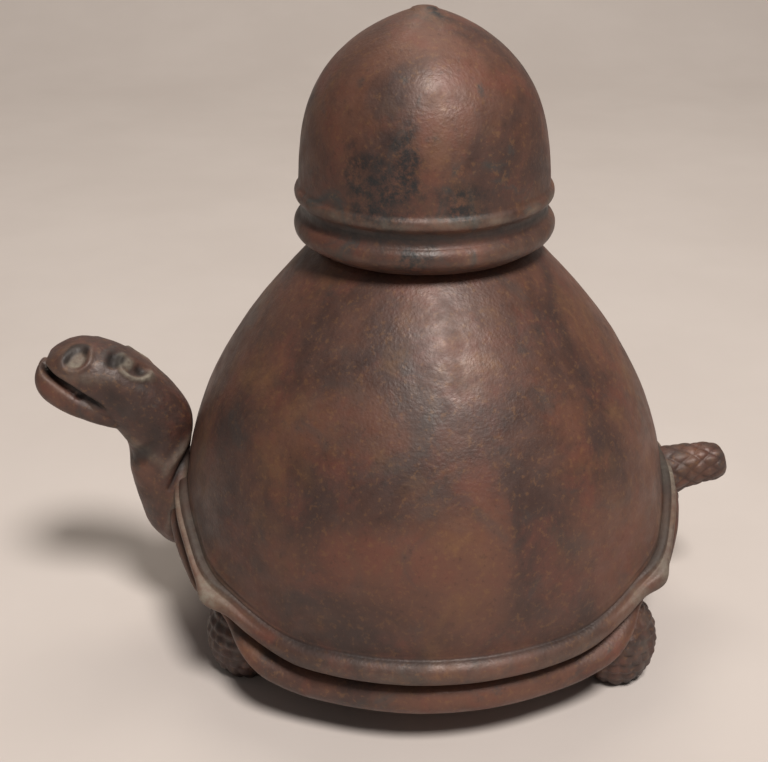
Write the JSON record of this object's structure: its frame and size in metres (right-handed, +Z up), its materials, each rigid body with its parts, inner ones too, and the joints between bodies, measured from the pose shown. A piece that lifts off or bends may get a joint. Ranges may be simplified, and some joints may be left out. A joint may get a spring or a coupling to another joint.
{
  "type": "cast iron still bank",
  "caption": "Cast iron coin bank shaped as a tortoise: a tall domed shell in two bolted halves, head, tail, feet and a loose acorn-shaped lid over its mouth.",
  "frame": {"origin": "on the floor under the middle of the bounding box", "axes": "+X from head to tail, +Y towards the right flank, +Z up"},
  "size_m": [0.1196, 0.0874, 0.1078],
  "materials": {
    "carapace_iron": "rust-brown patina, semi-matte, sand-cast grain",
    "plastron_iron": "rust-brown patina with dusty worn ridges",
    "lid_iron": "rust-brown patina with blue-black patches",
    "limb_iron": "rust-brown patina, dark in the hollows, dusty on the ridges",
    "screw_steel": "dull, lightly rusted"
  },
  "bodies": {
    "shell": {"carapace": "carapace_iron", "plastron": "plastron_iron", "head_and_neck": "limb_iron", "tail": "limb_iron", "front_left_foot": "limb_iron", "front_right_foot": "limb_iron", "rear_left_foot": "limb_iron", "rear_right_foot": "limb_iron", "case_screw_1": "screw_steel", "case_screw_2": "screw_steel", "case_screw_3": "screw_steel", "case_screw_4": "screw_steel", "front_left_foot_screw": "screw_steel", "front_right_foot_screw": "screw_steel", "rear_left_foot_screw": "screw_steel", "rear_right_foot_screw": "screw_steel", "neck_screw_left": "screw_steel", "neck_screw_right": "screw_steel", "tail_screw": "screw_steel"},
    "lid": {"lid": "lid_iron"}
  },
  "joints": [
    {"name": "lid_lift", "type": "slide", "parent": "shell", "child": "lid", "axis": [0, 0, 1], "range_m": [0, 0.06]}
  ]
}
